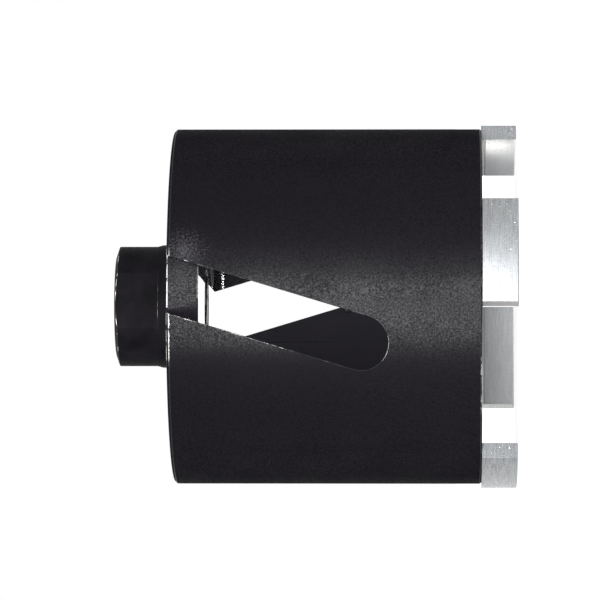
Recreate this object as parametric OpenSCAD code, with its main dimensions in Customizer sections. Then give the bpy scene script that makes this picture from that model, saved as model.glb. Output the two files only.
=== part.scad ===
// Dry diamond core bit for cutting socket-box holes in masonry.
// It stands on its segment tips: Z = 0 is the cutting face and +Z points to the machine spindle.
// The axis of rotation is the Z axis.

/* [Cutting crown] */
// Cutting diameter, measured over the segments
bit_d = 82; // [62:1:122]
// How far the segments stand proud of the outside of the barrel
side_clearance = 1; // [0.5:0.1:1.5]
// Thickness of a segment, from its convex face to its concave face
segment_t = 3.4; // [2.6:0.1:4.5]
// Length of a segment, measured straight from end to end
segment_l = 24; // [14:1:30]
// Height of a segment above the barrel's cutting end
segment_h = 8; // [5:0.5:12]
// Radius worn on the edges at the segment tips
segment_tip_r = 0.4; // [0.2:0.1:0.8]
// Direction of the first segment, seen from the hub end
segment_turn = -71.4; // [-90:0.1:90]

/* [Barrel] */
// Length of the barrel tube
barrel_l = 69; // [50:1:150]
// Wall thickness of the barrel tube
barrel_wall = 2; // [1.5:0.1:2.5]
// Chamfer on the outer edge at the hub end of the tube
barrel_edge = 0.6; // [0.2:0.05:0.8]
// Chamfer on the outer edge at the cutting end of the tube
crown_edge = 0.3; // [0.1:0.05:0.5]

/* [Dust slots] */
// Number of slots round the barrel
slot_n = 2; // [1:1:3]
// Width of a slot, square to its sides
slot_w = 12; // [6:0.5:16]
// Slant of a slot against the axis of the bit
slot_tilt = 16.8; // [0:0.1:25]
// Distance from the hub end of the barrel to the centre of the slot's round end
slot_l = 42.5; // [24:0.5:44]
// How far the slot's middle stands off centre where it leaves the hub end
slot_offset = 5; // [0:0.1:8]

/* [End plate] */
// Thickness of the end plate
plate_t = 7; // [5:0.5:10]
// Radial depth of the seat turned into the barrel for the plate
seat_step = 0.4; // [0.2:0.05:0.8]
// How much deeper the seat is turned than the plate is thick
seat_run = 1.4; // [0.6:0.1:3]
// Length of the taper at the bottom of the seat
seat_taper = 0.8; // [0.4:0.1:2]
// Chamfer on the rim of the plate
plate_edge = 0.3; // [0.1:0.05:0.6]

/* [Hub] */
// Diameter of the hub
hub_d = 27; // [25:0.5:32]
// Height of the hub above the end plate
hub_h = 13.2; // [9:0.1:20]
// How far the round collar at the hub's foot stands out from the hub
collar_step = 0.35; // [0.1:0.05:3]
// Height of the collar, up to the foot of the wrench flats
collar_h = 3.4; // [2:0.1:6]
// Length of the taper that narrows the collar to the hub
collar_taper = 1.2; // [0.4:0.1:2]
// Width across the two wrench flats
flats_w = 24; // [22:0.5:25]
// Direction that the first wrench flat faces, turned from -Y towards +X
flats_turn = 6.4; // [-45:0.1:45]
// Diameter of the spigot that passes through the end plate
spigot_d = 20; // [19:0.5:23]
// Crest diameter of the M16 x 2 female thread
thread_crest_d = 13.84; // [13.7:0.01:14.2]
// Diameter of the countersink at each mouth of the thread
thread_mouth_d = 16.6; // [16:0.1:18]
// How far the bevel at the hub's free end narrows its radius
hub_bevel_r = 2.1; // [0.5:0.1:2.4]
// Height of the bevel at the hub's free end
hub_bevel_h = 0.7; // [0.3:0.1:2]

/* [Fits and welds] */
// Radial gap between the end plate and its seat in the barrel
plate_fit = 0.05; // [0.02:0.01:0.1]
// Radial gap between the spigot and the bore of the end plate
spigot_fit = 0.05; // [0.02:0.01:0.1]
// Leg of the fillet weld round the foot of the hub
weld_leg = 1.8; // [1:0.1:4]
// Thickness of the weld where its face meets the hub and the plate
weld_toe = 0.2; // [0.1:0.05:0.4]

/* [Hidden] */
$fn = 96;

// Segments are set at an even pitch, one node for each
segment_n = 4;
segment_pitch = 360 / segment_n;

// Radii of the crown and the barrel
segment_out_r = bit_d / 2;
segment_in_r = segment_out_r - segment_t;
barrel_r = segment_out_r - side_clearance;
bore_r = barrel_r - barrel_wall;
seat_r = bore_r + seat_step;

// Heights along the axis
barrel_z = segment_h;
plate_top_z = barrel_z + barrel_l;
plate_foot_z = plate_top_z - plate_t;
seat_foot_z = plate_foot_z - seat_run;
hub_top_z = plate_top_z + hub_h;
flats_z = plate_top_z + collar_h;

// Radii of the plate and the hub
plate_r = seat_r - plate_fit;
hub_r = hub_d / 2;
collar_r = hub_r + collar_step;
spigot_r = spigot_d / 2;
plate_bore_r = spigot_r + spigot_fit;
crest_r = thread_crest_d / 2;
mouth_r = thread_mouth_d / 2;
mouth_h = mouth_r - crest_r;

// How far a cutting shape runs past what it cuts
over = 1;

black_paint = [0.13, 0.12, 0.14];
bare_weld = [0.2, 0.19, 0.2];
sintered_metal = [0.6, 0.6, 0.61];

// Outline of one slot, seen square to the wall: X is across the bit and Y is along its axis.
// It has parallel sides, a round closed end, and runs out past the hub end of the barrel.
module slot_outline() {
    slot_r = slot_w / 2;
    past_end = slot_w + over;
    end_x = slot_offset - slot_l * tan(slot_tilt);
    translate([end_x, plate_top_z - slot_l])
        rotate(-slot_tilt) {
            circle(r = slot_r);
            translate([-slot_r, 0])
                square([slot_w, slot_l / cos(slot_tilt) + past_end]);
        }
}

// One slot's cutter, driven straight in through the wall that faces -Y
module slot_cutter() {
    reach = barrel_r * 0.6;
    translate([0, -barrel_r - over + reach, 0])
        rotate([90, 0, 0])
            linear_extrude(height = reach)
                slot_outline();
}

// Half section of the barrel: plain bore, tapered step, and a seat for the end plate
module barrel_section() {
    polygon([
        [bore_r, barrel_z],
        [barrel_r - crown_edge, barrel_z],
        [barrel_r, barrel_z + crown_edge],
        [barrel_r, plate_top_z - barrel_edge],
        [barrel_r - barrel_edge, plate_top_z],
        [seat_r, plate_top_z],
        [seat_r, seat_foot_z],
        [bore_r, seat_foot_z - seat_taper]
    ]);
}

// Barrel: steel tube with slanted dust slots at an even pitch
module tube() {
    color(black_paint)
        difference() {
            rotate_extrude()
                barrel_section();
            for (i = [0 : slot_n - 1])
                rotate([0, 0, i * 360 / slot_n])
                    slot_cutter();
        }
}

// Turned disc that closes the hub end of the barrel, flush with its edge
module end_plate() {
    color(black_paint)
        rotate_extrude()
            polygon([
                [plate_bore_r, plate_foot_z],
                [plate_r - plate_edge, plate_foot_z],
                [plate_r, plate_foot_z + plate_edge],
                [plate_r, plate_top_z - plate_edge],
                [plate_r - plate_edge, plate_top_z],
                [plate_bore_r, plate_top_z]
            ]);
}

// Half section of the hub: spigot, collar, bevelled end, and a through bore with two mouths
module hub_section() {
    polygon([
        [mouth_r, plate_foot_z],
        [spigot_r, plate_foot_z],
        [spigot_r, plate_top_z],
        [collar_r, plate_top_z],
        [collar_r, flats_z - collar_taper / 2],
        [hub_r, flats_z + collar_taper / 2],
        [hub_r, hub_top_z - hub_bevel_h],
        [hub_r - hub_bevel_r, hub_top_z],
        [mouth_r, hub_top_z],
        [crest_r, hub_top_z - mouth_h],
        [crest_r, plate_foot_z + mouth_h]
    ]);
}

// What is milled off the hub beside one wrench flat, which faces -Y
module flat_cutter() {
    reach = collar_r + over;
    translate([-reach, -reach, flats_z])
        cube([2 * reach, reach - flats_w / 2, hub_h]);
}

// Turned hub with a threaded bore and two wrench flats
module hub() {
    color(black_paint)
        difference() {
            rotate_extrude()
                hub_section();
            for (side = [0, 180])
                rotate([0, 0, flats_turn + side])
                    flat_cutter();
        }
}

// Fillet weld in the corner between the hub's collar and the end plate
module hub_weld() {
    color(bare_weld)
        rotate_extrude()
            translate([collar_r, plate_top_z])
                polygon([
                    [0, 0],
                    [weld_leg, 0],
                    [weld_leg, weld_toe],
                    [weld_toe, weld_leg],
                    [0, weld_leg]
                ]);
}

// Section through a segment: flat foot on the barrel, rounded edges at the tip
module segment_section() {
    tip_w = segment_t - 2 * segment_tip_r;
    translate([segment_in_r, segment_tip_r])
        square([segment_t, segment_h - segment_tip_r]);
    translate([segment_in_r + segment_tip_r, 0])
        square([tip_w, segment_h / 2]);
    for (x = [segment_tip_r, segment_t - segment_tip_r])
        translate([segment_in_r + x, segment_tip_r])
            circle(r = segment_tip_r);
}

// One diamond segment: curved to the crown, with straight ends parallel to its middle
module segment(number) {
    color(sintered_metal)
        rotate([0, 0, segment_turn + (number - 1) * segment_pitch])
            intersection() {
                rotate_extrude()
                    segment_section();
                translate([0, -segment_l / 2, -over])
                    cube([segment_out_r + over, segment_l, segment_h + 2 * over]);
            }
}

tube();
end_plate();
hub();
hub_weld();
segment(1);  // segment_1
segment(2);  // segment_2
segment(3);  // segment_3
segment(4);  // segment_4
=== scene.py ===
# A dry diamond core bit for socket-box holes. It stands on its segment tips, and +Z runs up its axis.
# The photograph shows it on its side, so the camera lies on its side too, with the hub to the left.

import math
import random

import bmesh
import bpy
from mathutils import Matrix, Vector, noise


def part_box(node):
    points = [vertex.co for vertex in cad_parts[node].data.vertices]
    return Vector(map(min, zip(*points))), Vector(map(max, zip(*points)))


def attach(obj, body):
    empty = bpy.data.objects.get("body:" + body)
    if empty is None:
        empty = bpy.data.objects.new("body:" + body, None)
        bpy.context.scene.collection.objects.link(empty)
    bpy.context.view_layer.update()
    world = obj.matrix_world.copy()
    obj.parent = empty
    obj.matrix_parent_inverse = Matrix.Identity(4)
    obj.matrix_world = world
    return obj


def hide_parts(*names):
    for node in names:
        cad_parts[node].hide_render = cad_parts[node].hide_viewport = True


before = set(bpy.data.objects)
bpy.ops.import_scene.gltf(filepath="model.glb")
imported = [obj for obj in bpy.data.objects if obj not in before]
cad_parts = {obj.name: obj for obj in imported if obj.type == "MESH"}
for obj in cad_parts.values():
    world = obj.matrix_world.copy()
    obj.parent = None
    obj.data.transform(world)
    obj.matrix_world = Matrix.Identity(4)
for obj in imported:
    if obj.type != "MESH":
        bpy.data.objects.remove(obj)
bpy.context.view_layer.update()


# Barrel
# A steel tube turned to length, with a seat bored for the end plate and two slanted dust slots milled
# through its wall. It was dipped in satin black paint after welding. The paint is rubbed off at the cut
# edges, and a narrow land at the foot of the seat is scraped bare.

MM = 0.001
LATHE_STEPS = 360

barrel_r = 40 * MM
bore_r = 38 * MM
seat_r = 38.4 * MM
seat_foot_z = 68.6 * MM
seat_taper = 0.8 * MM
seat_land_h = 0.65 * MM
seat_cove = 0.05 * MM
inside_r = seat_r + 0.1 * MM
crown_chamfer = 0.3 * MM
hub_end_chamfer = 0.6 * MM
barrel_foot_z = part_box("tube")[0].z
barrel_top_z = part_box("tube")[1].z

slot_r = 6 * MM
slot_tilt = math.radians(16.8)
slot_l = 42.5 * MM
slot_offset = 5 * MM
slot_past = 12 * MM
slot_start_y = -barrel_r - 1 * MM
slot_depth = barrel_r * 0.6
slot_arc_steps = 96

rubbed_w = 0.13 * MM
same_place = 0.001 * MM


def lathe(bm, outline):
    """Turns a closed outline of (radius, height) points once round Z"""
    corners = [bm.verts.new((r, 0, z)) for r, z in outline]
    lines = [bm.edges.new(pair) for pair in zip(corners, corners[1:] + corners[:1])]
    bmesh.ops.spin(bm, geom=corners + lines, cent=(0, 0, 0), axis=(0, 0, 1), angle=math.tau,
                   steps=LATHE_STEPS, use_merge=True)
    bmesh.ops.recalc_face_normals(bm, faces=bm.faces)


def new_piece(name, bm):
    """Makes an object at the origin from a bmesh"""
    mesh = bpy.data.meshes.new(name)
    bm.to_mesh(mesh)
    bm.free()
    piece = bpy.data.objects.new(name, mesh)
    bpy.context.scene.collection.objects.link(piece)
    return piece


def cut(piece, cutter):
    """Takes the cutter's shape out of the piece and removes the cutter"""
    modifier = piece.modifiers.new("cut", "BOOLEAN")
    modifier.operation = "DIFFERENCE"
    modifier.solver = "EXACT"
    modifier.object = cutter
    graph = bpy.context.evaluated_depsgraph_get()
    shaped = bpy.data.meshes.new_from_object(piece.evaluated_get(graph))
    piece.modifiers.remove(modifier)
    piece.data = shaped
    bpy.data.objects.remove(cutter)


def break_edges(piece, width, material=-1, sharp=28):
    """Smooths the faces and rounds every edge that is sharper than an angle in degrees"""
    for face in piece.data.polygons:
        face.use_smooth = True
    bevel = piece.modifiers.new("broken_edges", "BEVEL")
    bevel.width = width
    bevel.segments = 2
    bevel.limit_method = "ANGLE"
    bevel.angle_limit = math.radians(sharp)
    bevel.use_clamp_overlap = False
    bevel.harden_normals = True
    bevel.material = material


def linear(hex_colour):
    """The linear colour of an sRGB hex value"""
    parts = [int(hex_colour[i:i + 2], 16) / 255 for i in (0, 2, 4)]
    return [c / 12.92 if c <= 0.04045 else ((c + 0.055) / 1.055) ** 2.4 for c in parts] + [1]


def new_material(name, sockets):
    """A material with one Principled shader, with its constants on the shader's own sockets"""
    made = bpy.data.materials.new(name)
    made.use_nodes = True
    shader = made.node_tree.nodes["Principled BSDF"]
    for socket, value in sockets.items():
        shader.inputs[socket].default_value = value
    return made, made.node_tree, shader


def add(tree, kind, sockets=None, links=None, **settings):
    """Adds a node, with values and links for its input sockets, given by name or number"""
    made = tree.nodes.new(kind)
    for name, value in settings.items():
        setattr(made, name, value)
    for name, value in (sockets or {}).items():
        made.inputs[name].default_value = value
    for name, source in (links or {}).items():
        tree.links.new(source, made.inputs[name])
    return made


def ramp(made, stops):
    """Sets a colour ramp's stops from (position, colour) pairs"""
    steps = made.color_ramp.elements
    while len(steps) < len(stops):
        steps.new(0.5)
    for step, (place, colour) in zip(steps, stops):
        step.position = place
        step.color = colour


def satin_black_dip():
    """Satin black dip paint: near black, an orange peel that breaks its sheen into specks, pale scuffs that
    are in part painted highlight on the lit front
    """
    peel_size = 0.4 * MM
    peel_height = 0.015 * MM
    haze_size = 11 * MM
    fleck_size = 0.34 * MM
    fleck_offset = 0.22
    # Pale scuffs, worn paint in part and painted highlight in part where the front catches the light: middle
    # and reach in millimetres, and how much more shows through there
    scuffs_and_painted_highlights = ((12.2, -38.1, 73, 9.5, 0.38), (4, -38.2, 73, 6, 0.16), (-5, -39.7, 11, 6, 0.24),
              (6.5, -39.5, 58.6, 3, 0.24), (3.2, -39.9, 47.7, 3, 0.32), (1.6, -40, 42.3, 3, 0.34),
              (0.4, -40, 38, 2.5, 0.3))
    dull_patch = Vector((-6, -39.5, 71)) * MM
    dull_reach = 14 * MM
    made, tree, shader = new_material("satin_black_dip", {"IOR": 1.5})
    place = add(tree, "ShaderNodeTexCoord").outputs["Object"]
    peel = add(tree, "ShaderNodeTexNoise", {"Scale": 1 / peel_size, "Detail": 2.0, "Roughness": 0.6},
               {"Vector": place})
    haze = add(tree, "ShaderNodeTexNoise", {"Scale": 1 / haze_size, "Detail": 3.0}, {"Vector": place})
    mottle = add(tree, "ShaderNodeMath", {1: 3.0}, {0: peel.outputs["Fac"], 2: haze.outputs["Fac"]},
                 operation="MULTIPLY_ADD")
    facing = add(tree, "ShaderNodeLayerWeight", {"Blend": 0.5})
    sheen = add(tree, "ShaderNodeMapRange",
                {"From Min": 1.45, "From Max": 2.55, "To Min": 0.055, "To Max": 0.115},
                {"Value": mottle.outputs[0]})
    away = add(tree, "ShaderNodeVectorMath", {1: dull_patch}, {0: place}, operation="DISTANCE")
    dulled = add(tree, "ShaderNodeMapRange", {"From Max": dull_reach, "To Min": 0.62, "To Max": 1.0},
                 {"Value": away.outputs["Value"]})
    faded = add(tree, "ShaderNodeMapRange",
                {"From Min": 0.1, "From Max": 0.4, "To Min": 1.0, "To Max": 0.3},
                {"Value": facing.outputs["Facing"]})
    specular = add(tree, "ShaderNodeMath", {}, {0: sheen.outputs["Result"], 1: dulled.outputs["Result"]},
                   operation="MULTIPLY")
    specular = add(tree, "ShaderNodeMath", {}, {0: specular.outputs[0], 1: faded.outputs["Result"]},
                   operation="MULTIPLY")
    tree.links.new(specular.outputs[0], shader.inputs["Specular IOR Level"])
    rough = add(tree, "ShaderNodeMapRange",
                {"From Min": 1.5, "From Max": 2.5, "To Min": 0.43, "To Max": 0.23},
                {"Value": mottle.outputs[0]})
    dulling = add(tree, "ShaderNodeMapRange",
                  {"From Min": 0.2, "From Max": 0.7, "To Min": 0.0, "To Max": 0.55},
                  {"Value": facing.outputs["Facing"]})
    gloss = add(tree, "ShaderNodeMath", {}, {0: rough.outputs["Result"], 1: dulling.outputs["Result"]},
                operation="ADD")
    tree.links.new(gloss.outputs[0], shader.inputs["Roughness"])

    grain = add(tree, "ShaderNodeTexNoise", {"Scale": 1 / fleck_size, "Detail": 4.0, "Roughness": 0.7},
                {"Vector": place})
    fleck = add(tree, "ShaderNodeMath", {1: fleck_offset}, {0: grain.outputs["Fac"]}, operation="SUBTRACT")
    for x, y, z, reach, amount in scuffs_and_painted_highlights:
        middle = Vector((x, y, z)) * MM
        away = add(tree, "ShaderNodeVectorMath", {1: middle}, {0: place}, operation="DISTANCE")
        near = add(tree, "ShaderNodeMapRange", {"From Min": reach * MM, "From Max": 0, "To Max": amount},
                   {"Value": away.outputs["Value"]})
        fleck = add(tree, "ShaderNodeMath", {}, {0: fleck.outputs[0], 1: near.outputs["Result"]},
                    operation="ADD")
    # Pale flecks, pushed up by the scuffs: wear in part, painted highlight in part
    flecks_and_painted_highlights = add(tree, "ShaderNodeMapRange", {"From Min": 0.5, "From Max": 0.95},
                {"Value": fleck.outputs[0]})
    tone = add(tree, "ShaderNodeValToRGB", {}, {"Fac": peel.outputs["Fac"]})
    ramp(tone, [(0.35, linear("0d0b0f")), (0.68, linear("151318"))])
    flecked = add(tree, "ShaderNodeMix", {7: linear("57565a")},
                  {0: flecks_and_painted_highlights.outputs["Result"], 6: tone.outputs["Color"]}, data_type="RGBA")
    tree.links.new(flecked.outputs[2], shader.inputs["Base Color"])
    bump = add(tree, "ShaderNodeBump", {"Strength": 0.3, "Distance": peel_height},
               {"Height": peel.outputs["Fac"]})
    tree.links.new(bump.outputs["Normal"], shader.inputs["Normal"])
    return made


def inner_coat_painted_paler():
    """The same paint inside the barrel, dull, with runs along the axis: greyer than outside as painted light
    in the shaded bore, and paler still towards the plate
    """
    run_size = 2.5 * MM
    run_height = 0.03 * MM
    paler_start_z = 56 * MM
    paler_full_z = 66 * MM
    made, tree, shader = new_material("inner_coat_painted_paler", {
        "Specular IOR Level": 0.2,
        "IOR": 1.5,
        "Roughness": 0.6,
    })
    place = add(tree, "ShaderNodeTexCoord").outputs["Object"]
    along_axis = add(tree, "ShaderNodeMapping", {"Scale": (1, 1, 0.15)}, {"Vector": place})
    run = add(tree, "ShaderNodeTexNoise", {"Scale": 1 / run_size, "Detail": 4.0, "Roughness": 0.6},
              {"Vector": along_axis.outputs["Vector"]})
    tone = add(tree, "ShaderNodeValToRGB", {}, {"Fac": run.outputs["Fac"]})
    # A grey black, lighter than the outside paint: painted light for the shaded inside of the barrel
    ramp(tone, [(0.35, linear("2b2830")), (0.68, linear("322f38"))])
    apart = add(tree, "ShaderNodeSeparateXYZ", {}, {0: place})
    # Paler still towards the plate: more painted light
    painted_light_share = add(tree, "ShaderNodeMapRange", {"From Min": paler_start_z, "From Max": paler_full_z},
                {"Value": apart.outputs["Z"]})
    painted_light_tone = add(tree, "ShaderNodeMix", {7: linear("4b4850")},
                 {0: painted_light_share.outputs["Result"], 6: tone.outputs["Color"]}, data_type="RGBA")
    bump = add(tree, "ShaderNodeBump", {"Strength": 0.3, "Distance": run_height},
               {"Height": run.outputs["Fac"]})
    tree.links.new(painted_light_tone.outputs[2], shader.inputs["Base Color"])
    tree.links.new(bump.outputs["Normal"], shader.inputs["Normal"])
    return made


def rubbed_edge():
    """Edges rubbed down to steel: broken bright dashes at the rims and the hub, faint ones at the slots, kept
    to the middle where they are in part painted highlight
    """
    patch_size = 2.2 * MM
    # Each rim is rubbed in its middle, where the front's highlight falls, so its dashes are in part painted
    # highlight, over a half width that narrows from the crown up
    wear_and_highlight_zs = (9 * MM, 20 * MM)
    wear_and_highlight_half_ws = (23 * MM, 12 * MM)
    wear_and_highlight_fade = (-1 * MM, 1.5 * MM)
    # One wall of a slot shows fewer dashes, except where it runs out at the hub end
    fainter_wall_offsets = (-5 * MM, -3.5 * MM)
    near_end_zs = (68 * MM, 73 * MM)
    wear_top_z = 95 * MM
    # Height in millimetres, amount of wear, and how far it shines like steel
    wear_by_height = ((8.2, 0.62, 1), (8.3, 0.2, 1), (27, 0.2, 0.6), (28, 0.52, 0.6), (76.1, 0.52, 0.6),
                      (76.3, 0.62, 1), (79.9, 0.2, 1), (80.2, 0.44, 0.12), (80.6, 0.44, 0.12), (80.9, 0.2, 1),
                      (89.2, 0.2, 1), (89.5, 0.5, 0.7), (90, 0.5, 0.7), (90.1, 0.2, 1))
    made, tree, shader = new_material("rubbed_edge", {"Specular IOR Level": 0.3})
    place = add(tree, "ShaderNodeTexCoord").outputs["Object"]
    patch = add(tree, "ShaderNodeTexNoise", {"Scale": 1 / patch_size, "Detail": 4.0, "Roughness": 0.65},
                {"Vector": place})
    apart = add(tree, "ShaderNodeSeparateXYZ", {}, {0: place})
    share = add(tree, "ShaderNodeMath", {1: 1 / wear_top_z}, {0: apart.outputs["Z"]}, operation="MULTIPLY")
    wear = add(tree, "ShaderNodeValToRGB", {}, {"Fac": share.outputs[0]})
    ramp(wear, [(z * MM / wear_top_z, (amount, amount, amount, shine))
                for z, amount, shine in wear_by_height])
    aside = add(tree, "ShaderNodeMath", {}, {0: apart.outputs["X"]}, operation="ABSOLUTE")
    reach = add(tree, "ShaderNodeMapRange",
                {"From Min": wear_and_highlight_zs[0], "From Max": wear_and_highlight_zs[1],
                 "To Min": wear_and_highlight_half_ws[0], "To Max": wear_and_highlight_half_ws[1]},
                {"Value": apart.outputs["Z"]})
    inside = add(tree, "ShaderNodeMath", {}, {0: reach.outputs["Result"], 1: aside.outputs[0]},
                 operation="SUBTRACT")
    wear_and_highlight_band = add(tree, "ShaderNodeMapRange",
                  {"From Min": wear_and_highlight_fade[0], "From Max": wear_and_highlight_fade[1]},
                  {"Value": inside.outputs[0]})
    level = add(tree, "ShaderNodeMath", {}, {0: patch.outputs["Fac"], 1: wear.outputs["Color"]},
                operation="ADD")
    sharp = add(tree, "ShaderNodeMapRange", {"From Min": 0.99, "From Max": 1.09}, {"Value": level.outputs[0]})
    worn_and_highlit = add(tree, "ShaderNodeMath", {}, {0: sharp.outputs["Result"], 1: wear_and_highlight_band.outputs["Result"]},
               operation="MULTIPLY")
    front = add(tree, "ShaderNodeMath", {}, {0: apart.outputs["Y"]}, operation="SIGN")
    across = add(tree, "ShaderNodeMath", {}, {0: front.outputs[0], 1: apart.outputs["X"]},
                 operation="MULTIPLY")
    beside = add(tree, "ShaderNodeMath", {1: math.tan(slot_tilt)},
                 {0: apart.outputs["Z"], 2: across.outputs[0]}, operation="MULTIPLY_ADD")
    middle = barrel_top_z * math.tan(slot_tilt) - slot_offset
    fainter_wall = add(tree, "ShaderNodeMapRange",
                    {"From Min": middle + fainter_wall_offsets[0], "From Max": middle + fainter_wall_offsets[1],
                     "To Min": 0.15, "To Max": 1.0},
                    {"Value": beside.outputs[0]})
    near_end = add(tree, "ShaderNodeMapRange",
                   {"From Min": near_end_zs[0], "From Max": near_end_zs[1], "To Max": 1.5},
                   {"Value": apart.outputs["Z"]})
    wall_dash_share = add(tree, "ShaderNodeMath", {}, {0: fainter_wall.outputs["Result"], 1: near_end.outputs["Result"]},
                  operation="MAXIMUM")
    worn_and_highlit = add(tree, "ShaderNodeMath", {}, {0: worn_and_highlit.outputs[0], 1: wall_dash_share.outputs[0]},
               operation="MULTIPLY")
    # Bare steel only in the middle band: wear, and in part a painted highlight
    bare_and_highlit = add(tree, "ShaderNodeMath", {}, {0: worn_and_highlit.outputs[0], 1: wear.outputs["Alpha"]},
               operation="MULTIPLY")
    tone = add(tree, "ShaderNodeMix",
               {6: linear("121114"), 7: linear("c4c4c2")}, {0: bare_and_highlit.outputs[0]}, data_type="RGBA")
    rough = add(tree, "ShaderNodeMapRange", {"To Min": 0.6, "To Max": 0.34}, {"Value": bare_and_highlit.outputs[0]})
    tree.links.new(tone.outputs[2], shader.inputs["Base Color"])
    tree.links.new(bare_and_highlit.outputs[0], shader.inputs["Metallic"])
    tree.links.new(rough.outputs["Result"], shader.inputs["Roughness"])
    return made


def turned_steel(name, tones, bright, dull, tool_line=0.16 * MM, stretch=(0.02, 0.02, 1), bite=0.3,
                 relief=0.02 * MM):
    """Bare turned steel: fine tool lines that run round the axis, or beads where the tool chattered"""
    made, tree, shader = new_material(name, {"Metallic": 1.0})
    place = add(tree, "ShaderNodeTexCoord").outputs["Object"]
    along = add(tree, "ShaderNodeMapping", {"Scale": stretch}, {"Vector": place})
    line = add(tree, "ShaderNodeTexNoise", {"Scale": 1 / tool_line, "Detail": 2.0},
               {"Vector": along.outputs["Vector"]})
    tone = add(tree, "ShaderNodeValToRGB", {}, {"Fac": line.outputs["Fac"]})
    ramp(tone, [(stop, linear(colour)) for stop, colour in zip((0.3, 0.7), tones)])
    rough = add(tree, "ShaderNodeMapRange", {"To Min": bright, "To Max": dull},
                {"Value": line.outputs["Fac"]})
    bump = add(tree, "ShaderNodeBump", {"Strength": bite, "Distance": relief},
               {"Height": line.outputs["Fac"]})
    tree.links.new(tone.outputs["Color"], shader.inputs["Base Color"])
    tree.links.new(rough.outputs["Result"], shader.inputs["Roughness"])
    tree.links.new(bump.outputs["Normal"], shader.inputs["Normal"])
    return made


def slot_cutter(bm, turn):
    """One slot's cutter: half a disc with a straight tail, driven in through the wall at that turn"""
    before = set(bm.verts)
    bmesh.ops.create_circle(bm, cap_ends=True, radius=slot_r, segments=slot_arc_steps,
                            matrix=Matrix.Rotation(math.radians(90), 4, "X"))
    disc = [v for v in bm.verts if v not in before]
    lines = [e for e in bm.edges if e.verts[0] not in before]
    faces = [f for f in bm.faces if f.verts[0] not in before]
    halved = bmesh.ops.bisect_plane(bm, geom=disc + lines + faces, dist=same_place, plane_co=(0, 0, 0),
                                    plane_no=(0, 0, 1), clear_outer=True)
    straight = [g for g in halved["geom_cut"] if isinstance(g, bmesh.types.BMEdge)]
    tail = bmesh.ops.extrude_edge_only(bm, edges=straight)["geom"]
    tail_end = [g for g in tail if isinstance(g, bmesh.types.BMVert)]
    bmesh.ops.translate(bm, verts=tail_end, vec=(0, 0, slot_l / math.cos(slot_tilt) + slot_past))
    faces = [f for f in bm.faces if not before.intersection(f.verts)]
    deep = bmesh.ops.extrude_face_region(bm, geom=faces)["geom"]
    far_side = [g for g in deep if isinstance(g, bmesh.types.BMVert)]
    bmesh.ops.translate(bm, verts=far_side, vec=(0, slot_depth, 0))
    made = [v for v in bm.verts if v not in before]
    end_x = slot_offset - slot_l * math.tan(slot_tilt)
    seat = Matrix.Translation((end_x, slot_start_y, barrel_top_z - slot_l))
    placed = Matrix.Rotation(turn, 4, "Z") @ seat @ Matrix.Rotation(slot_tilt, 4, "Y")
    bmesh.ops.transform(bm, matrix=placed, verts=made)


bm = bmesh.new()
lathe(bm, [
    (bore_r, barrel_foot_z),
    (barrel_r - crown_chamfer, barrel_foot_z),
    (barrel_r, barrel_foot_z + crown_chamfer),
    (barrel_r, barrel_top_z - hub_end_chamfer),
    (barrel_r - hub_end_chamfer, barrel_top_z),
    (seat_r, barrel_top_z),
    (seat_r, seat_foot_z + seat_cove),
    (seat_r - seat_cove, seat_foot_z),
    (bore_r + seat_cove, seat_foot_z - seat_taper + seat_land_h + seat_cove),
    (bore_r, seat_foot_z - seat_taper + seat_land_h),
    (bore_r, seat_foot_z - seat_taper),
])
for face in bm.faces:
    middle = face.calc_center_median()
    if seat_foot_z - seat_taper < middle.z < seat_foot_z and middle.xy.length < seat_r:
        face.material_index = 2
    # Walls inside the barrel take the inner coat, which carries painted light
    elif abs(face.normal.z) < 0.1 and middle.xy.length < inside_r:
        face.material_index = 3
barrel = new_piece("barrel", bm)

bm = bmesh.new()
for turn in (0, math.pi):
    slot_cutter(bm, turn)
bmesh.ops.recalc_face_normals(bm, faces=bm.faces)
cut(barrel, new_piece("slot_cutters", bm))
bright_land = turned_steel("scraped_land", ("d8d8d6", "fdfdfb"), bright=0.2, dull=0.32, tool_line=0.5 * MM,
                           stretch=(1, 1, 0.02), bite=1.0, relief=0.22 * MM)
for made in (satin_black_dip(), rubbed_edge(), bright_land, inner_coat_painted_paler()):
    barrel.data.materials.append(made)
break_edges(barrel, rubbed_w, material=1, sharp=44)
for face in barrel.data.polygons:
    face.use_smooth = face.material_index != 2
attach(barrel, "root")
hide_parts("tube")


# End plate
# A turned steel disc, 7 mm thick, that closes the hub end of the barrel and carries the hub. It is painted
# with the barrel, and on its inner face a glossy pool of paint follows the tool's feed marks. They are
# drawn 0.8 mm wide, coarser than real, so that they show.

plate_r = 38.35 * MM
plate_bore_r = 10.05 * MM
plate_chamfer = 0.3 * MM
plate_edge_w = 0.06 * MM
plate_foot_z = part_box("end_plate")[0].z
plate_top_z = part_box("end_plate")[1].z
feed_mark_w = 0.8 * MM
feed_mark_flank = math.radians(3.8)


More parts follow.
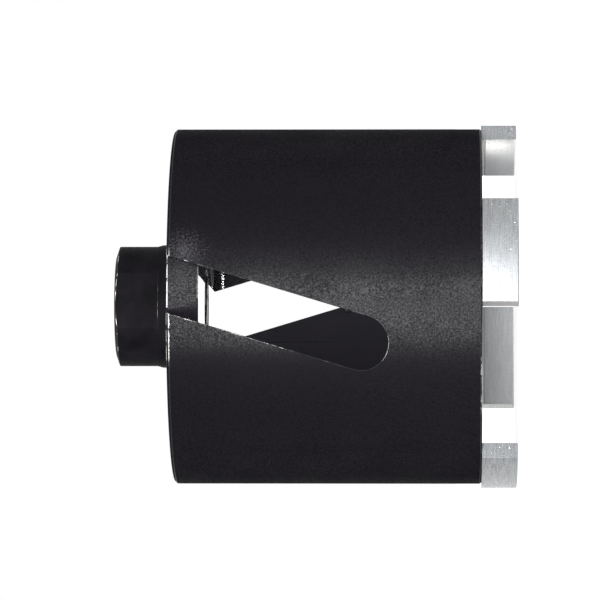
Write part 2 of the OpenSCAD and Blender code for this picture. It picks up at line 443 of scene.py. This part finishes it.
def gloss_black_pool():
    """Paint that pooled to a gloss, a mirror at a glancing angle, but dull in one place that it ran off"""
    wave_size = 14 * MM
    dull_place = Vector((24, 28, 70)) * MM
    dull_reach = 18.8 * MM
    dull_fade = 1 * MM
    made, tree, shader = new_material("gloss_black_pool", {"IOR": 1.5, "Coat Roughness": 0.03})
    place = add(tree, "ShaderNodeTexCoord").outputs["Object"]
    wave = add(tree, "ShaderNodeTexNoise", {"Scale": 1 / wave_size, "Detail": 1.0}, {"Vector": place})
    tone = add(tree, "ShaderNodeValToRGB", {}, {"Fac": wave.outputs["Fac"]})
    ramp(tone, [(0.3, linear("100f12")), (0.7, linear("1b191d"))])
    away = add(tree, "ShaderNodeVectorMath", {1: dull_place}, {0: place}, operation="DISTANCE")
    pooled = add(tree, "ShaderNodeMapRange", {"From Min": dull_reach, "From Max": dull_reach + dull_fade},
                 {"Value": away.outputs["Value"]})
    black = add(tree, "ShaderNodeMix", {6: linear("3a373e")},
                {0: pooled.outputs["Result"], 7: tone.outputs["Color"]}, data_type="RGBA")
    rough = add(tree, "ShaderNodeMapRange", {"To Min": 0.6, "To Max": 0.06},
                {"Value": pooled.outputs["Result"]})
    tree.links.new(black.outputs[2], shader.inputs["Base Color"])
    tree.links.new(rough.outputs["Result"], shader.inputs["Roughness"])
    tree.links.new(pooled.outputs["Result"], shader.inputs["Coat Weight"])
    return made


bm = bmesh.new()
faced_w = plate_r - plate_chamfer - plate_bore_r
mark_count = round(faced_w / feed_mark_w)
mark_w = faced_w / mark_count
mark_depth = mark_w / 2 * math.tan(feed_mark_flank)
feed_marks = []
for i in range(mark_count):
    feed_marks.append((plate_bore_r + i * mark_w, plate_foot_z))
    feed_marks.append((plate_bore_r + (i + 0.5) * mark_w, plate_foot_z + mark_depth))
lathe(bm, feed_marks + [
    (plate_r - plate_chamfer, plate_foot_z),
    (plate_r, plate_foot_z + plate_chamfer),
    (plate_r, plate_top_z - plate_chamfer),
    (plate_r - plate_chamfer, plate_top_z),
    (plate_bore_r, plate_top_z),
])
for face in bm.faces:
    middle = face.calc_center_median()
    if face.normal.z < -0.9:
        face.material_index = 2
    elif abs(face.normal.z) > 0.1 and middle.xy.length > plate_r - plate_chamfer:
        face.material_index = 1
plate = new_piece("end_plate_disc", bm)
for made in (bpy.data.materials["satin_black_dip"], bpy.data.materials["rubbed_edge"], gloss_black_pool()):
    plate.data.materials.append(made)
break_edges(plate, plate_edge_w)
for face in plate.data.polygons:
    face.use_smooth = face.material_index != 2
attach(plate, "root")
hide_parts("end_plate")


# Paint pools for shade
# Dip paint that dried in the corner between the plate's rim and one wall of each slot, a sheet that stands
# in for the shade along that wall. It rises to the wall in a hollow curve, so it turns away from the light
# and looks darker than the rim. A burr of the same paint hangs on the other wall, near the slot's round end.

shade_pool_w_outside = 1.1 * MM
shade_pool_w_inside = 5.2 * MM
shade_pool_slope = 0.3
shade_pool_sunk = 0.08 * MM
shade_pool_end_gap = 0.05 * MM
shade_pool_thickness = 0.04 * MM
shade_pool_steps = 24
burr_place = Vector((-0.75, -39.6, 37.1)) * MM
burr_size = Vector((0.42, 0.45, 1.15)) * MM
burr_lumps = 1.7
burr_swell = 0.35


def slot_wall_x(z):
    """Where a slot's wall lies across the bit at a height, on the side that the slot leans away from"""
    return slot_offset - (barrel_top_z - z) * math.tan(slot_tilt) - slot_r / math.cos(slot_tilt)


bm = bmesh.new()
bmesh.ops.create_grid(bm, x_segments=shade_pool_steps, y_segments=shade_pool_steps, size=0.5)
for vert in bm.verts:
    across, along = vert.co.x + 0.5, vert.co.y + 0.5
    z = plate_foot_z + shade_pool_end_gap + along * (plate_top_z - plate_foot_z - 2 * shade_pool_end_gap)
    width = shade_pool_w_inside + (shade_pool_w_outside - shade_pool_w_inside) * along
    x = slot_wall_x(z) + width * (1 - across)
    radius = plate_r - shade_pool_sunk + shade_pool_slope * width * across ** 2
    vert.co = (x, -math.sqrt(radius ** 2 - x ** 2), z)
bmesh.ops.recalc_face_normals(bm, faces=bm.faces)
bmesh.ops.solidify(bm, geom=bm.faces[:], thickness=shade_pool_thickness)
burr = bmesh.ops.create_icosphere(bm, subdivisions=4, radius=1)["verts"]
for vert in burr:
    swell = 1 + burr_swell * noise.noise(vert.co * burr_lumps)
    vert.co = burr_place + Vector([part * size * swell for part, size in zip(vert.co, burr_size)])
bmesh.ops.recalc_face_normals(bm, faces=bm.faces)
twin = bmesh.ops.duplicate(bm, geom=bm.verts[:] + bm.edges[:] + bm.faces[:])["geom"]
bmesh.ops.rotate(bm, verts=[g for g in twin if isinstance(g, bmesh.types.BMVert)], cent=(0, 0, 0),
                 matrix=Matrix.Rotation(math.pi, 3, "Z"))
shade_pools = new_piece("paint_pools_for_shade", bm)
shade_pools.data.materials.append(bpy.data.materials["satin_black_dip"])
for face in shade_pools.data.polygons:
    face.use_smooth = True
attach(shade_pools, "root")


# Hub
# A turned steel spindle hub with a right-hand M16 x 2 thread tapped right through it, a round collar, two
# milled wrench flats and a spigot that fills the bore of the end plate. It is blackened, and its thread
# and countersinks are bare.

hub_r = 13.5 * MM
collar_r = hub_r + 0.35 * MM
collar_taper = 1.2 * MM
spigot_r = 10 * MM
collar_top_z = plate_top_z + 3.4 * MM
hub_top_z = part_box("hub")[1].z
hub_bevel_r = 2.1 * MM
hub_bevel_h = 0.7 * MM
flat_distance = 12 * MM
flat_cutter_h = 20 * MM
flats_turn = math.radians(6.4)
hub_bore_r = 8.35 * MM
hub_edge_w = 0.12 * MM

thread_pitch = 2 * MM
thread_root_r = 8 * MM
thread_crest_r = 6.92 * MM
thread_mouth_r = 8.3 * MM
thread_steps = 96
flank_points = 5
thread_merge = 0.0005 * MM
thread_trim = 0.0001 * MM
found_within = 0.01 * MM


def black_oxide_steel():
    """Blackened turned steel: dull and near black, with faint tool lines round the axis"""
    tool_line = 0.3 * MM
    stain_size = 5 * MM
    made, tree, shader = new_material("black_oxide_steel", {"Specular IOR Level": 0.03, "IOR": 1.5})
    place = add(tree, "ShaderNodeTexCoord").outputs["Object"]
    along = add(tree, "ShaderNodeMapping", {"Scale": (0.03, 0.03, 1)}, {"Vector": place})
    line = add(tree, "ShaderNodeTexNoise", {"Scale": 1 / tool_line, "Detail": 2.0},
               {"Vector": along.outputs["Vector"]})
    stain = add(tree, "ShaderNodeTexNoise", {"Scale": 1 / stain_size, "Detail": 4.0}, {"Vector": place})
    tone = add(tree, "ShaderNodeValToRGB", {}, {"Fac": stain.outputs["Fac"]})
    ramp(tone, [(0.35, linear("0d0c0f")), (0.7, linear("18161a"))])
    rough = add(tree, "ShaderNodeMapRange", {"To Min": 0.5, "To Max": 0.7}, {"Value": line.outputs["Fac"]})
    bump = add(tree, "ShaderNodeBump", {"Strength": 0.3, "Distance": 0.02 * MM},
               {"Height": line.outputs["Fac"]})
    tree.links.new(tone.outputs["Color"], shader.inputs["Base Color"])
    tree.links.new(rough.outputs["Result"], shader.inputs["Roughness"])
    tree.links.new(bump.outputs["Normal"], shader.inputs["Normal"])
    return made


def mouth_radius(z):
    """The countersink's radius at a height, which opens at 45 degrees towards both ends of the hub"""
    return thread_mouth_r - min(z - plate_foot_z, hub_top_z - z)


def tapped_bore(bm):
    """One tool profile, a pitch longer than the bore at both ends, carried once round and a pitch up"""
    root_w = thread_pitch / 8
    crest_w = thread_pitch / 4
    flank_w = (thread_pitch - root_w - crest_w) / 2
    outline = []
    z = plate_foot_z - 2 * thread_pitch
    while z < hub_top_z + thread_pitch:
        outline.append((thread_root_r, z))
        for i in range(flank_points + 1):
            share = i / flank_points
            outline.append((thread_root_r + (thread_crest_r - thread_root_r) * share,
                            z + root_w + flank_w * share))
        outline.append((thread_crest_r, z + root_w + flank_w + crest_w / 2))
        for i in range(flank_points):
            share = i / flank_points
            outline.append((thread_crest_r + (thread_root_r - thread_crest_r) * share,
                            z + root_w + flank_w + crest_w + flank_w * share))
        z += thread_pitch
    corners = [bm.verts.new((r, 0, z)) for r, z in outline]
    lines = [bm.edges.new(pair) for pair in zip(corners, corners[1:])]
    bmesh.ops.spin(bm, geom=corners + lines, cent=(0, 0, 0), axis=(0, 0, 1), angle=math.tau,
                   steps=thread_steps, dvec=(0, 0, thread_pitch / thread_steps))
    bmesh.ops.remove_doubles(bm, verts=bm.verts, dist=thread_merge)
    for z, way in ((plate_foot_z, -1), (hub_top_z, 1)):
        bmesh.ops.bisect_plane(bm, geom=bm.verts[:] + bm.edges[:] + bm.faces[:], dist=thread_trim,
                               plane_co=(0, 0, z), plane_no=(0, 0, way), clear_outer=True)
    for vert in bm.verts:
        radius = max(vert.co.xy.length, mouth_radius(vert.co.z))
        vert.co.xy = vert.co.xy.normalized() * radius


def open_edges(bm, z):
    """The open edges that lie at one height"""
    return [e for e in bm.edges if e.is_boundary and all(abs(v.co.z - z) < found_within for v in e.verts)]


bm = bmesh.new()
lathe(bm, [
    (hub_bore_r, plate_foot_z),
    (spigot_r, plate_foot_z),
    (spigot_r, plate_top_z),
    (collar_r, plate_top_z),
    (collar_r, collar_top_z - collar_taper / 2),
    (hub_r, collar_top_z + collar_taper / 2),
    (hub_r, hub_top_z - hub_bevel_h),
    (hub_r - hub_bevel_r, hub_top_z),
    (hub_bore_r, hub_top_z),
])
hub = new_piece("spindle_hub", bm)
bm = bmesh.new()
for side in (0, math.pi):
    block = bmesh.ops.create_cube(bm, size=1)["verts"]
    size = Matrix.Diagonal((3 * hub_r, hub_r, flat_cutter_h, 1))
    seat = Matrix.Translation((0, -flat_distance - hub_r / 2, collar_top_z + flat_cutter_h / 2))
    bmesh.ops.transform(bm, matrix=Matrix.Rotation(flats_turn + side, 4, "Z") @ seat @ size, verts=block)
cut(hub, new_piece("flat_cutters", bm))

bm = bmesh.new()
bm.from_mesh(hub.data)
bore_wall = [f for f in bm.faces if all(v.co.xy.length < hub_bore_r + found_within for v in f.verts)]
bmesh.ops.delete(bm, geom=bore_wall, context="FACES_ONLY")
outer_loops = [open_edges(bm, plate_foot_z), open_edges(bm, hub_top_z)]
tap = bmesh.new()
tapped_bore(tap)
tap_mesh = bpy.data.meshes.new("tapped_bore")
tap.to_mesh(tap_mesh)
tap.free()
outer_faces = set(bm.faces)
outer_edges = set(bm.edges)
bm.from_mesh(tap_mesh)
bpy.data.meshes.remove(tap_mesh)
for face in bm.faces:
    if face not in outer_faces:
        face.material_index = 2
for z, outer in zip((plate_foot_z, hub_top_z), outer_loops):
    inner = [e for e in open_edges(bm, z) if e not in outer_edges]
    bmesh.ops.bridge_loops(bm, edges=outer + inner)
bmesh.ops.recalc_face_normals(bm, faces=bm.faces)
bm.to_mesh(hub.data)
bm.free()
thread_steel = turned_steel("turned_steel", ("a2a2a1", "c9c9c7"), bright=0.3, dull=0.42)
for made in (black_oxide_steel(), bpy.data.materials["rubbed_edge"], thread_steel):
    hub.data.materials.append(made)
break_edges(hub, hub_edge_w, material=1, sharp=35)
for face in hub.data.polygons:
    face.use_smooth = abs(face.normal.z) < 0.999
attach(hub, "root")
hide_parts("hub")


# Hub weld
# A fillet weld that runs once round the foot of the hub and fixes it to the end plate. Its ripples were
# left by the torch, and it was painted over with the barrel.

weld_leg = 1.8 * MM
weld_toe = 0.2 * MM
weld_crown = 0.14 * MM
weld_points = 10
weld_sunk = 0.2 * MM
weld_ripple = 1.5 * MM
ripple_bow = 1.1
ripple_middle = 0.6
ripple_swell = 0.045
weld_lump = 3 * MM
lump_swell = 0.07


def painted_weld():
    """Black paint over a weld: the same paint, lumpier and duller"""
    lump_size = 0.5 * MM
    made, tree, shader = new_material("painted_weld", {"Specular IOR Level": 0.08, "IOR": 1.5})
    place = add(tree, "ShaderNodeTexCoord").outputs["Object"]
    lump = add(tree, "ShaderNodeTexNoise", {"Scale": 1 / lump_size, "Detail": 4.0}, {"Vector": place})
    tone = add(tree, "ShaderNodeValToRGB", {}, {"Fac": lump.outputs["Fac"]})
    ramp(tone, [(0.35, linear("0d0c0f")), (0.7, linear("1a181c"))])
    rough = add(tree, "ShaderNodeMapRange", {"To Min": 0.4, "To Max": 0.65}, {"Value": lump.outputs["Fac"]})
    bump = add(tree, "ShaderNodeBump", {"Strength": 0.6, "Distance": 0.06 * MM},
               {"Height": lump.outputs["Fac"]})
    tree.links.new(tone.outputs["Color"], shader.inputs["Base Color"])
    tree.links.new(rough.outputs["Result"], shader.inputs["Roughness"])
    tree.links.new(bump.outputs["Normal"], shader.inputs["Normal"])
    return made


bm = bmesh.new()
bead = []
for i in range(weld_points + 1):
    share = i / weld_points
    out = weld_leg + (weld_toe - weld_leg) * share
    up = weld_toe + (weld_leg - weld_toe) * share
    swell = weld_crown * math.sin(math.pi * share)
    bead.append((collar_r + out + swell, plate_top_z + up + swell))
lathe(bm, [(collar_r - weld_sunk, plate_top_z), (collar_r + weld_leg, plate_top_z)] + bead
      + [(collar_r, plate_top_z + weld_leg), (collar_r - weld_sunk, plate_top_z + weld_leg)])
ripples = round(math.tau * collar_r / weld_ripple)
for vert in bm.verts:
    out = vert.co.xy.length - collar_r
    up = vert.co.z - plate_top_z
    if out > found_within and up > found_within:
        bow = ripple_bow * math.sin(math.pi * up / weld_leg)
        turn = math.atan2(vert.co.y, vert.co.x) + bow / ripples
        wave = abs(math.sin(ripples * turn / 2)) - ripple_middle
        lump = noise.noise(vert.co / weld_lump) * lump_swell
        swell = 1 + ripple_swell * wave + lump
        vert.co.xy = vert.co.xy.normalized() * (collar_r + out * swell)
        vert.co.z = plate_top_z + up * swell
weld = new_piece("hub_weld_bead", bm)
weld.data.materials.append(painted_weld())
for face in weld.data.polygons:
    face.use_smooth = True
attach(weld, "root")
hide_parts("hub_weld")


# Segments
# Four blocks of metal powder and diamond grit, sintered on a grit-free steel foot and laser welded to the
# barrel. They are ground round the crown, which leaves the grit standing open, and their ends are as
# pressed. The grit is drawn 0.34 mm across, so that it shows.

segment_count = 4
segment_turn = math.radians(-71.4)
segment_out_r = 41 * MM
segment_in_r = 37.6 * MM
segment_half_l = 12 * MM
segment_top_z = barrel_foot_z
segment_tip_r = 0.4 * MM
segment_edge_w = 0.07 * MM
segment_steps = 48
sweep_past = math.radians(3)
bore_side_w = 0.2 * MM
grit_proud = 0.07 * MM
grit_size = 0.34 * MM
grit_per_face = 46
grit_per_end = 15
grit_low_z = 0.6 * MM
grit_below_foot = 0.8 * MM
grit_spread = 0.96
grit_spread_across = 0.8
foot_line_z = 7.1 * MM
foot_line_w = 0.26 * MM
foot_line_d = 0.14 * MM


def ground_bond(name, tones, dull, polished, glancing, sheen=0.0):
    """Ground sintered metal: light grey, with grinding lines and open pores, glossier at a glancing angle,
    where sheen paints it paler as a painted reflection
    """
    line_size = 0.22 * MM
    pore_size = 0.3 * MM
    made, tree, shader = new_material(name, {"Metallic": 1.0})
    place = add(tree, "ShaderNodeTexCoord").outputs["Object"]
    along = add(tree, "ShaderNodeMapping", {"Scale": (0.05, 0.05, 1)}, {"Vector": place})
    line = add(tree, "ShaderNodeTexNoise", {"Scale": 1 / line_size, "Detail": 3.0, "Roughness": 0.6},
               {"Vector": along.outputs["Vector"]})
    pore = add(tree, "ShaderNodeTexNoise", {"Scale": 1 / pore_size, "Detail": 3.0, "Roughness": 0.7},
               {"Vector": place})
    height = add(tree, "ShaderNodeMath", {}, {0: line.outputs["Fac"], 1: pore.outputs["Fac"]},
                 operation="ADD")
    streaked = add(tree, "ShaderNodeMath", {1: 0.5}, {0: height.outputs[0]}, operation="MULTIPLY")
    tone = add(tree, "ShaderNodeValToRGB", {}, {"Fac": streaked.outputs[0]})
    ramp(tone, [(stop, linear(colour)) for stop, colour in zip((0.36, 0.5, 0.66), tones)])
    rough = add(tree, "ShaderNodeMapRange",
                {"From Min": 0.7, "From Max": 1.3, "To Min": dull, "To Max": polished},
                {"Value": height.outputs[0]})
    facing = add(tree, "ShaderNodeLayerWeight", {"Blend": 0.5})
    sharper = add(tree, "ShaderNodeMapRange",
                  {"From Min": 0.3, "From Max": 0.75, "To Min": 1.0, "To Max": glancing},
                  {"Value": facing.outputs["Facing"]})
    gloss = add(tree, "ShaderNodeMath", {}, {0: rough.outputs["Result"], 1: sharper.outputs["Result"]},
                operation="MULTIPLY")
    bump = add(tree, "ShaderNodeBump", {"Strength": 0.35, "Distance": 0.02 * MM},
               {"Height": height.outputs[0]})
    # Sheen paints the colour paler at a glancing angle: a painted reflection
    painted_reflection_share = add(tree, "ShaderNodeMapRange", {"From Min": 0.48, "From Max": 0.64, "To Max": sheen},
                {"Value": facing.outputs["Facing"]})
    painted_reflection_tone = add(tree, "ShaderNodeMix", {7: linear("dededc")},
               {0: painted_reflection_share.outputs["Result"], 6: tone.outputs["Color"]}, data_type="RGBA")
    tree.links.new(painted_reflection_tone.outputs[2], shader.inputs["Base Color"])
    tree.links.new(gloss.outputs[0], shader.inputs["Roughness"])
    tree.links.new(bump.outputs["Normal"], shader.inputs["Normal"])
    return made


def open_diamond():
    """Synthetic diamond grit: pale yellow-green crystals with flat bright faces"""
    tint_size = 1.5 * MM
    made, tree, shader = new_material("open_diamond", {"IOR": 2.417, "Roughness": 0.12})
    place = add(tree, "ShaderNodeTexCoord").outputs["Object"]
    tint = add(tree, "ShaderNodeTexNoise", {"Scale": 1 / tint_size, "Detail": 1.0}, {"Vector": place})
    tone = add(tree, "ShaderNodeValToRGB", {}, {"Fac": tint.outputs["Fac"]})
    ramp(tone, [(0.35, linear("8f917a")), (0.65, linear("bcbd9c"))])
    tree.links.new(tone.outputs["Color"], shader.inputs["Base Color"])
    return made


def segment_block(bm):
    """A block centred on +X: a section swept round Z, cut off square at both ends, rounded along its tip"""
    out_r = segment_out_r - grit_proud
    in_r = segment_in_r + grit_proud
    tip_z = grit_proud
    half_sweep = math.asin(segment_half_l / in_r) + sweep_past
    section = [
        (out_r, tip_z),
        (out_r, segment_top_z),
        (in_r, segment_top_z),
        (in_r, foot_line_z + foot_line_w / 2),
        (in_r + foot_line_d, foot_line_z),
        (in_r, foot_line_z - foot_line_w / 2),
        (in_r, tip_z),
    ]
    start = Matrix.Rotation(-half_sweep, 3, "Z")
    corners = [bm.verts.new(start @ Vector((r, 0, z))) for r, z in section]
    lines = [bm.edges.new(pair) for pair in zip(corners, corners[1:] + corners[:1])]
    bmesh.ops.spin(bm, geom=corners + lines, cent=(0, 0, 0), axis=(0, 0, 1), angle=2 * half_sweep,
                   steps=segment_steps)
    end_y = segment_half_l - grit_proud
    for way in (-1, 1):
        bmesh.ops.bisect_plane(bm, geom=bm.verts[:] + bm.edges[:] + bm.faces[:], dist=same_place,
                               plane_co=(0, way * end_y, 0), plane_no=(0, way, 0), clear_outer=True)
    bmesh.ops.holes_fill(bm, edges=[e for e in bm.edges if e.is_boundary], sides=0)
    bmesh.ops.recalc_face_normals(bm, faces=bm.faces)
    tips = [e for e in bm.edges if all(v.co.z < tip_z + found_within for v in e.verts)
            and e.calc_face_angle(0) > math.radians(60)
            and abs(e.verts[0].co.y - e.verts[1].co.y) > found_within]
    bmesh.ops.bevel(bm, geom=tips, offset=segment_tip_r, offset_type="OFFSET", segments=5, profile=0.5,
                    affect="EDGES", material=-1, clamp_overlap=True)
    for face in bm.faces:
        middle = face.calc_center_median()
        if middle.xy.length < in_r + bore_side_w:
            face.material_index = 1 if middle.z > foot_line_z else 2
        elif abs(face.normal.y) > 0.9:
            face.material_index = 3


def grit(bm, draw):
    """Crystals set half out of the four open faces of a block that is centred on +X"""
    spread = math.asin(segment_half_l / segment_out_r) * grit_spread
    mid_r = (segment_out_r + segment_in_r) / 2
    half_t = (segment_out_r - segment_in_r) / 2 * grit_spread_across
    top_z = foot_line_z - grit_below_foot
    places = []
    for i in range(grit_per_face):
        turn = draw.uniform(-spread, spread)
        for radius, share in ((segment_out_r, 1.0), (segment_in_r, 0.5)):
            z = draw.uniform(grit_low_z, top_z)
            inward = -1 if radius > mid_r else 1
            if draw.random() < share:
                places.append((Vector((math.cos(turn), math.sin(turn), 0)) * (radius + inward * grit_size / 2)
                               + Vector((0, 0, z))))
        turn = draw.uniform(-spread, spread)
        radius = mid_r + draw.uniform(-half_t, half_t)
        places.append(Vector((radius * math.cos(turn), radius * math.sin(turn), grit_size / 2)))
    for i in range(grit_per_end):
        for way in (-1, 1):
            radius = mid_r + draw.uniform(-half_t, half_t)
            end_y = way * (segment_half_l - grit_size / 2)
            end_x = math.sqrt(radius ** 2 - end_y ** 2)
            places.append(Vector((end_x, end_y, draw.uniform(grit_low_z, top_z))))
    for place in places:
        turned = Matrix.Rotation(draw.uniform(0, math.tau), 4,
                                 (draw.random(), draw.random(), draw.random() + 0.1))
        bmesh.ops.create_icosphere(bm, subdivisions=1, radius=grit_size / 2,
                                   matrix=Matrix.Translation(place) @ turned)


outer_bond = ground_bond("ground_bond", ("7c7e82", "96989a", "aaacae"), 0.5, 0.36, glancing=0.9)
# The bore faces are painted paler than the outer faces of the same bond, as painted light where the barrel
# shades them, with the full painted reflection at a glancing angle
bore_bond_painted_paler = ground_bond("ground_bore_bond_painted_paler", ("bcbec0", "c4c6c8", "cccdcf"), 0.8, 0.68, glancing=0.2,
                         sheen=1.0)
# The pressed ends carry half the painted reflection at a glancing angle
pressed_end = ground_bond("pressed_end_bond", ("6e7074", "828487", "929496"), 0.6, 0.5, glancing=0.9,
                          sheen=0.5)
diamond = open_diamond()
for number in range(segment_count):
    turn = Matrix.Rotation(segment_turn + number * math.tau / segment_count, 4, "Z")
    bm = bmesh.new()
    segment_block(bm)
    bmesh.ops.transform(bm, matrix=turn, verts=bm.verts)
    block = new_piece(f"segment_block_{number + 1}", bm)
    for made in (outer_bond, bpy.data.materials["turned_steel"], bore_bond_painted_paler, pressed_end):
        block.data.materials.append(made)
    break_edges(block, segment_edge_w, sharp=35)
    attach(block, "root")
    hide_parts(f"segment_{number + 1}")

    bm = bmesh.new()
    grit(bm, random.Random(number))
    bmesh.ops.transform(bm, matrix=turn, verts=bm.verts)
    crystals = new_piece(f"diamond_grit_{number + 1}", bm)
    crystals.data.materials.append(diamond)
    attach(crystals, "root")


# Floor
# A pale sweep that the bit stands on. The camera and mirror-like surfaces see it as white, and it keeps
# a soft shadow.

floor_size = 8.0
paper_glow = 0.86

bm = bmesh.new()
bmesh.ops.create_grid(bm, x_segments=1, y_segments=1, size=floor_size / 2)
floor = new_piece("floor", bm)
paper, tree, shader = new_material("white_paper", {
    "Base Color": (0.6, 0.6, 0.6, 1),
    "Roughness": 0.9,
    "Specular IOR Level": 0.0,
    "Emission Color": (1, 1, 1, 1),
})
path = add(tree, "ShaderNodeLightPath")
sight = add(tree, "ShaderNodeMath", {}, {0: path.outputs["Is Camera Ray"], 1: path.outputs["Is Glossy Ray"]},
            operation="MAXIMUM")
sight = add(tree, "ShaderNodeMath", {}, {0: sight.outputs[0], 1: path.outputs["Is Transmission Ray"]},
            operation="MAXIMUM")
glow = add(tree, "ShaderNodeMath", {1: paper_glow}, {0: sight.outputs[0]}, operation="MULTIPLY")
tree.links.new(glow.outputs[0], shader.inputs["Emission Strength"])
floor.data.materials.append(paper)


# Light
# A wide softbox behind the camera with a weak one beside it, a third overhead, a white sweep behind the
# bit and a light grey room in front of it. Only the camera and mirror-like surfaces see the sweep at full
# strength.

room_level = 0.42
sweep_level = 1.3
soft_level = 0.6

world = bpy.data.worlds.new("studio")
bpy.context.scene.world = world
world.use_nodes = True
tree = world.node_tree
path = add(tree, "ShaderNodeLightPath")
direction = add(tree, "ShaderNodeTexCoord")
apart = add(tree, "ShaderNodeSeparateXYZ", {}, {0: direction.outputs["Generated"]})
mirrored = add(tree, "ShaderNodeMapRange",
               {"From Min": 0.4, "From Max": 0.7, "To Min": room_level, "To Max": sweep_level},
               {"Value": apart.outputs["Y"]})
unseen = add(tree, "ShaderNodeMix", {2: soft_level},
             {0: path.outputs["Is Glossy Ray"], 3: mirrored.outputs["Result"]})
straight = add(tree, "ShaderNodeMath", {},
               {0: path.outputs["Is Camera Ray"], 1: path.outputs["Is Transmission Ray"]},
               operation="MAXIMUM")
level = add(tree, "ShaderNodeMix", {3: 1.0}, {0: straight.outputs[0], 2: unseen.outputs[0]})
surround = tree.nodes["Background"]
surround.inputs["Color"].default_value = (1, 1, 1, 1)
tree.links.new(level.outputs[0], surround.inputs["Strength"])


def softbox(name, azimuth, elevation, distance, width, height, power):
    """A rectangular lamp that faces the middle of the bit"""
    a, e = math.radians(azimuth), math.radians(elevation)
    middle = Vector((0, 0, 0.04))
    away = Vector((math.sin(a) * math.cos(e), -math.cos(a) * math.cos(e), math.sin(e)))
    lamp = bpy.data.lights.new(name, "AREA")
    lamp.shape = "RECTANGLE"
    lamp.size = width
    lamp.size_y = height
    lamp.energy = power
    holder = bpy.data.objects.new(name, lamp)
    facing = away.to_track_quat("Z", "Y").to_matrix().to_4x4()
    holder.matrix_world = Matrix.Translation(middle + away * distance) @ facing
    holder.visible_camera = False
    bpy.context.scene.collection.objects.link(holder)


softbox("key", azimuth=-2.8, elevation=5.4, distance=2.5, width=1.95, height=0.55, power=84)
softbox("side", azimuth=27, elevation=5.4, distance=2.5, width=0.6, height=0.55, power=4.2)
softbox("top", azimuth=-30, elevation=78, distance=1.2, width=0.9, height=0.9, power=8)


# Camera
# It lies on its side at the height of the barrel's lower third, so +X is up and the hub is to the left.

camera_place = Vector((1.47, -1076, 17.3)) * MM
camera_target = Vector((1.47, 0, 48.9)) * MM

camera_data = bpy.data.cameras.new("camera")
camera_data.lens = 285.8
camera_data.sensor_width = 36
camera_data.sensor_fit = "HORIZONTAL"
camera = bpy.data.objects.new("camera", camera_data)
sight_line = (camera_target - camera_place).normalized()
picture_right = sight_line.cross(Vector((1, 0, 0))).normalized()
picture_up = picture_right.cross(sight_line)
turned = Matrix((picture_right, picture_up, -sight_line)).transposed().to_4x4()
camera.matrix_world = Matrix.Translation(camera_place) @ turned
bpy.context.scene.collection.objects.link(camera)
bpy.context.scene.camera = camera

bpy.context.scene.view_settings.view_transform = "Standard"
